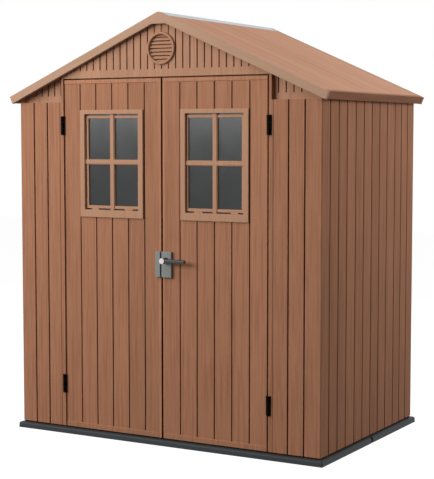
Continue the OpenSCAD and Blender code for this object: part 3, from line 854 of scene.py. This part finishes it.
window = {
    "bevel": 2 * mm, "glassFront": 15 * mm, "glassBevel": 0.6 * mm,
    # places in millimetres from the middle of the doorway and from the ground
    "bars": {"front": 3 * mm, "back": 13 * mm, "bevel": 2.5 * mm, "lap": 1 * mm,
             "x": (290 * mm, 313 * mm), "z": (1415 * mm, 1437 * mm)},
    "bead": {"front": 8 * mm, "margin": 4 * mm, "gap": 7 * mm, "bevel": 1.5 * mm, "clipBevel": 0.8 * mm,
             "panes": ((148, 287), (316, 449)), "rows": ((1203, 1412), (1439, 1648)),
             "clips": ((180, 228), (388, 430))},
}
for side, tag in ((-1, "Left"), (1, "Right")):
    body = f"{tag.lower()}_door"
    # flange and sleeve of the frame
    bm = block(frameLow, (frameHigh.x, frontY, frameHigh.z))
    openHole(bm, 1, (glassLow.x, 0, glassLow.z), (glassHigh.x, 0, glassHigh.z))
    bevelEdges(bm, window["bevel"], 3, lambda e: max(v.co.y for v in e.verts) < frontY - 1 * mm
               or abs(e.verts[0].co.y - e.verts[1].co.y) > 1 * mm)
    sleeve = block((frameLow.x + frameLap, frontY, frameLow.z + frameLap),
                   (frameHigh.x - frameLap, leafBack, frameHigh.z - frameLap))
    openHole(sleeve, 1, (glassLow.x, 0, glassLow.z), (glassHigh.x, 0, glassHigh.z))
    joinInto(bm, sleeve)
    makePiece(f"windowFrame{tag}", toSide(bm, side), body, frameResin,
              [f"window_frame_{tag.lower()}"])
    # beads that hold the four panes, standing on two clips
    bead, bars = window["bead"], window["bars"]
    y0, y1 = frontY + bead["front"], frontY + window["glassFront"]
    bm = block((glassLow.x + bead["margin"], y0, glassLow.z + bead["gap"]),
               (glassHigh.x - bead["margin"], y1, glassHigh.z - bead["gap"]))
    for x0, x1 in bead["panes"]:
        for z0, z1 in bead["rows"]:
            openHole(bm, 1, (x0 * mm, 0, z0 * mm), (x1 * mm, 0, z1 * mm))
    bevelEdges(bm, bead["bevel"], 2, atFront(y0))
    for x0, x1 in bead["clips"]:
        clip = block((x0 * mm, y0 + 1 * mm, glassLow.z), (x1 * mm, y1, glassLow.z + bead["gap"] + 1 * mm))
        bevelEdges(clip, bead["clipBevel"])
        joinInto(bm, clip)
    makePiece(f"windowBeads{tag}", toSide(bm, side), body, frameResin)
    # crossed bars in front of the beads
    (x0, x1), (z0, z1) = bars["x"], bars["z"]
    y0, y1 = frontY + bars["front"], frontY + bars["back"]
    bm = block((x0, y0, glassLow.z), (x1, y1, glassHigh.z))
    bevelEdges(bm, bars["bevel"], 3, atFront(y0))
    for low, high in ((glassLow.x, x0 + bars["lap"]), (x1 - bars["lap"], glassHigh.x)):
        bar = block((low, y0, z0), (high, y1, z1))
        bevelEdges(bar, bars["bevel"], 3, lambda e: atFront(y0)(e)
                   and abs(e.verts[0].co.x - e.verts[1].co.x) > 10 * mm)
        joinInto(bm, bar)
    makePiece(f"windowBars{tag}", toSide(bm, side), body, frameResin)
    bm = block((glassLow.x, frontY + window["glassFront"], glassLow.z), glassHigh)
    bevelEdges(bm, window["glassBevel"], 2)
    makePiece(f"windowSheet{tag}", toSide(bm, side), body, smokedSheet,
              [f"window_glass_{tag.lower()}"])
print("windows built")


hinge = {"x": 603 * mm, "y": frontY - 8 * mm, "heights": (263 * mm, 1612 * mm), "length": 96 * mm,
         "gap": 1 * mm, "barrel": 7 * mm, "barrelBevel": 0.9 * mm, "pin": 3 * mm,
         "plate": (7.4 * mm, 13 * mm), "plateThick": 4.5 * mm, "plateSet": 0.02 * mm, "plateBevel": 1.2 * mm,
         "webFrom": 3.5 * mm, "webFront": 4 * mm, "webSet": 1 * mm}


def hingePart(sections, plateSide, withPin):  # barrel knuckles and the plate that carries them
    bm = bmesh.new()
    knuckle = (hinge["length"] - 2 * hinge["gap"]) / 3
    near, far = hinge["plate"]
    for middle in hinge["heights"]:
        for i in sections:
            part = bmesh.new()
            bmesh.ops.create_cone(part, cap_ends=True, segments=40, radius1=hinge["barrel"],
                                  radius2=hinge["barrel"], depth=knuckle)
            bevelEdges(part, hinge["barrelBevel"], 2)
            z = middle + (i - 1) * (knuckle + hinge["gap"])
            bmesh.ops.translate(part, verts=part.verts, vec=(hinge["x"], hinge["y"], z))
            joinInto(bm, part)
            inset = hinge["webSet"]
            sides = sorted((plateSide * hinge["webFrom"], plateSide * (near + inset)))
            web = block((hinge["x"] + sides[0], frontY - hinge["webFront"], z - knuckle / 2 + inset),
                        (hinge["x"] + sides[1], frontY - inset, z + knuckle / 2 - inset))
            joinInto(bm, web)
        edges = sorted((plateSide * near, plateSide * far))
        plate = block((hinge["x"] + edges[0], frontY - hinge["plateThick"], middle - hinge["length"] / 2),
                      (hinge["x"] + edges[1], frontY - hinge["plateSet"], middle + hinge["length"] / 2))
        bevelEdges(plate, hinge["plateBevel"], 2)
        joinInto(bm, plate)
        if withPin:
            pin = bmesh.new()
            bmesh.ops.create_cone(pin, cap_ends=True, segments=32, radius1=hinge["pin"],
                                  radius2=hinge["pin"], depth=hinge["length"])
            bmesh.ops.translate(pin, verts=pin.verts, vec=(hinge["x"], hinge["y"], middle))
            joinInto(bm, pin)
    return bm


for side, tag in ((-1, "Left"), (1, "Right")):
    low = tag.lower()
    makePiece(f"postHinges{tag}", toSide(hingePart((0, 2), 1, True), side), "shed",
              blackCoat, [f"post_hinges_{low}"])
    makePiece(f"leafHinges{tag}", toSide(hingePart((1,), -1, False), side), f"{low}_door",
              blackCoat, [f"door_hinges_{low}"])
print("hinges built")


handle = {"plateBevel": 2.5 * mm, "hubRadius": 15 * mm, "hubGap": 1 * mm, "barHeight": 22 * mm,
          "barDepth": 17 * mm, "barBevel": 6 * mm, "taper": 0.16, "hubBevel": 1.5 * mm,
          "capRadius": 14.3 * mm, "capBevel": 1.2 * mm}


def discY(radius, y0, y1, centre, bevel):  # a round piece lying along Y
    bm = bmesh.new()
    bmesh.ops.create_cone(bm, cap_ends=True, segments=48, radius1=radius, radius2=radius, depth=y1 - y0)
    bmesh.ops.rotate(bm, verts=bm.verts, cent=(0, 0, 0), matrix=Matrix.Rotation(math.pi / 2, 3, "X"))
    bmesh.ops.translate(bm, verts=bm.verts, vec=(centre.x, (y0 + y1) / 2, centre.z))
    bevelEdges(bm, bevel, 3)
    return bm


def leverBar(centre):  # a rounded bar, slimmer towards its end
    half = handle["barHeight"] / 2
    bm = block((centre.x - half, leverLow.y, -half), (leverHigh.x, leverLow.y + handle["barDepth"], half))
    bevelEdges(bm, handle["barBevel"], 4)
    for vert in bm.verts:
        along = max(vert.co.x - centre.x, 0) / (leverHigh.x - centre.x)
        vert.co.z = centre.z + vert.co.z * (1 - handle["taper"] * along)
    return bm


for name, plate, body in (("lock_plate", (lockLow, lockHigh), "right_door"),
                          ("strike_plate", (strikeLow, strikeHigh), "left_door")):
    bm = block(*plate)
    bevelEdges(bm, handle["plateBevel"], 3, lambda e: min(v.co.y for v in e.verts) < plate[0].y + 1e-4)
    makePiece("lockPlate" if body == "right_door" else "strikePlate", bm, body,
              greyPlate, [name])
pivot = Vector((leverLow.x + handle["hubRadius"], 0, (leverLow.z + leverHigh.z) / 2))
bm = leverBar(pivot)
joinInto(bm, discY(handle["hubRadius"], leverLow.y + handle["barDepth"] / 2, lockLow.y - handle["hubGap"],
                   pivot, handle["hubBevel"]))
makePiece("leverBar", bm, "lever", darkHandle, ["lever_handle"])
bm = discY(handle["capRadius"], capLow.y, capHigh.y, pivot, handle["capBevel"])
makePiece("lockCap", bm, "lever", whiteCap, ["lock_cap"])
print("handle built")


base = {"radius": 12 * mm, "notch": (12 * mm, 12 * mm), "mitre": 4 * mm, "mitreLength": 12 * mm,
        "mitreFoot": 5 * mm, "notchShadeSet": 0.8 * mm, "notchShadeFlat": 0.5 * mm, "notchShadeEdge": 4 * mm,
        "cutPast": 20 * mm, "cutTop": 100 * mm, "cutFoot": -50 * mm}
for name, tag in (("floor_front", "Front"), ("floor_rear", "Rear")):
    low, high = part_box(name)
    outerY = low.y if tag == "Front" else high.y
    seamY = high.y if tag == "Front" else low.y
    bm = block(low, high)
    bevelEdges(bm, base["radius"], 6, lambda e: min(v.co.z for v in e.verts) > high.z - 1e-4
               and not all(abs(v.co.y - seamY) < 1e-4 for v in e.verts))
    cutters = []
    for side in (-1, 1):
        cutter = block((-base["mitreLength"], -base["mitre"] / 2, base["mitreFoot"]),
                       (base["cutPast"], base["mitre"] / 2, base["cutTop"]))
        turn = math.atan2(math.copysign(1, outerY), side)
        bmesh.ops.rotate(cutter, verts=cutter.verts, cent=(0, 0, 0), matrix=Matrix.Rotation(turn, 3, "Z"))
        bmesh.ops.translate(cutter, verts=cutter.verts, vec=(side * high.x, outerY, 0))
        cutters.append(cutter)
        depth, halfWide = base["notch"]
        notch = block((-depth, -halfWide, base["cutFoot"]), (depth, halfWide, base["cutTop"]))
        bmesh.ops.translate(notch, verts=notch.verts, vec=(side * high.x, seamY, 0))
        cutters.append(notch)
    makePiece(f"basePanel{tag}", bm, "shed", charcoalResin, [name], cutters)
# black blocks that fill the notches at the two side seams: painted shade that keeps the notches dark
seamY = (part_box("floor_front")[1].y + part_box("floor_rear")[0].y) / 2
for side, tag in ((-1, "Left"), (1, "Right")):
    depth, halfWide = base["notch"]
    bm = block((high.x - depth, seamY - halfWide, low.z + base["notchShadeSet"]),
               (high.x - base["notchShadeSet"], seamY + halfWide, high.z - base["notchShadeSet"]))
    bevelEdges(bm, depth - base["notchShadeSet"] - base["notchShadeFlat"], 5,
               lambda e: min(v.co.z for v in e.verts) > high.z - base["notchShadeEdge"]
               and min(v.co.x for v in e.verts) > high.x - base["notchShadeEdge"])
    makePiece(f"baseNotchShade{tag}", toSide(bm, side), "shed", blackCoat)
print("base built")


# parts kept as built
kept = {
    "door_post_left": wallResin, "door_post_right": wallResin, "door_header": crossResin,
    "ridge_beam": galvanised,
}
for name, material in kept.items():
    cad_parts[name].data.materials.clear()
    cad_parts[name].data.materials.append(material)


studio = {
    "position": (3.5747, -6.2456, 1.5674), "target": (0.0008, -0.0208, 1.0058), "lens": 101.15,
    "world": 0.2, "floorColour": (0.15, 0.15, 0.15, 1), "floorGlow": 0.95,
    "floorRoughness": 0.9, "floorSize": 14,
    "lamps": {
        "above": {"at": (-0.8, -2.8, 4.3), "aim": (0, -0.5, 1.4), "size": (1.6, 1.6), "power": 40},
        "softbox": {"at": (-2.5, -4.9, 2.75), "aim": (0.3, 0, 1.5), "size": (5.0, 2.0), "power": 248,
                    "mirrored": True},
        "side": {"at": (3.3, 0.5, 2.3), "aim": (0.8, 0, 1.3), "size": (1.4, 1.4), "power": 30},
        "corner": {"at": (3.8, -1.0, 3.3), "aim": (0.8, -0.1, 1.5), "size": (1.6, 1.6), "power": 16},
        "top": {"at": (0.6, 0.2, 4.6), "aim": (0.4, 0, 1.8), "size": (2.0, 2.0), "power": 25},
        "rear": {"at": (0.5, 4.4, 2.9), "aim": (0, 0.4, 1.2), "size": (2.4, 2.0), "power": 120},
    },
}


def aim(obj, at, target):
    obj.location = at
    obj.rotation_euler = (Vector(target) - Vector(at)).to_track_quat("-Z", "Y").to_euler()


camera = bpy.data.objects.new("camera", bpy.data.cameras.new("camera"))
camera.data.lens = studio["lens"]
camera.data.clip_end = 200
scene.collection.objects.link(camera)
aim(camera, studio["position"], studio["target"])
scene.camera = camera

for name, values in studio["lamps"].items():
    light = bpy.data.lights.new(name, "AREA")
    light.shape = "RECTANGLE"
    light.size, light.size_y = values["size"]
    light.energy = values["power"]
    lamp = bpy.data.objects.new(name, light)
    lamp.visible_glossy = values.get("mirrored", False)
    scene.collection.objects.link(lamp)
    aim(lamp, values["at"], values["aim"])


def seenDirectly(tree):  # 1 where the camera, a mirror or a clear pane looks straight at it
    path = addNode(tree, "ShaderNodeLightPath").outputs
    either = mathNode(tree, "MAXIMUM", path["Is Camera Ray"], path["Is Glossy Ray"])
    return mathNode(tree, "MAXIMUM", either, path["Is Transmission Ray"])


world = bpy.data.worlds.new("studio")
world.use_nodes = True
scene.world = world
tree = world.node_tree
ground = tree.nodes["Background"]
level = studio["world"]
strength = mathNode(tree, "ADD", mathNode(tree, "MULTIPLY", seenDirectly(tree), 1 - level), level)
tree.links.new(strength, ground.inputs["Strength"])
ground.inputs["Color"].default_value = (1, 1, 1, 1)

bm = bmesh.new()
bmesh.ops.create_grid(bm, x_segments=1, y_segments=1, size=studio["floorSize"])
floorMesh = bpy.data.meshes.new("floor")
bm.to_mesh(floorMesh)
bm.free()
floor = bpy.data.objects.new("floor", floorMesh)
scene.collection.objects.link(floor)
floorPaint, tree, shader = newMaterial("floorPaint")
shader.inputs["Base Color"].default_value = studio["floorColour"]
shader.inputs["Roughness"].default_value = studio["floorRoughness"]
shader.inputs["Specular IOR Level"].default_value = 0.0
glow = addNode(tree, "ShaderNodeEmission", {"Color": (1, 1, 1, 1), "Strength": studio["floorGlow"]})
both = addNode(tree, "ShaderNodeAddShader", {0: shader.outputs[0], 1: glow.outputs[0]})
blend = addNode(tree, "ShaderNodeMixShader", {0: seenDirectly(tree), 1: shader.outputs[0],
                                              2: both.outputs[0]})
tree.links.new(blend.outputs[0], tree.nodes["Material Output"].inputs["Surface"])
floorMesh.materials.append(floorPaint)
print("studio built")
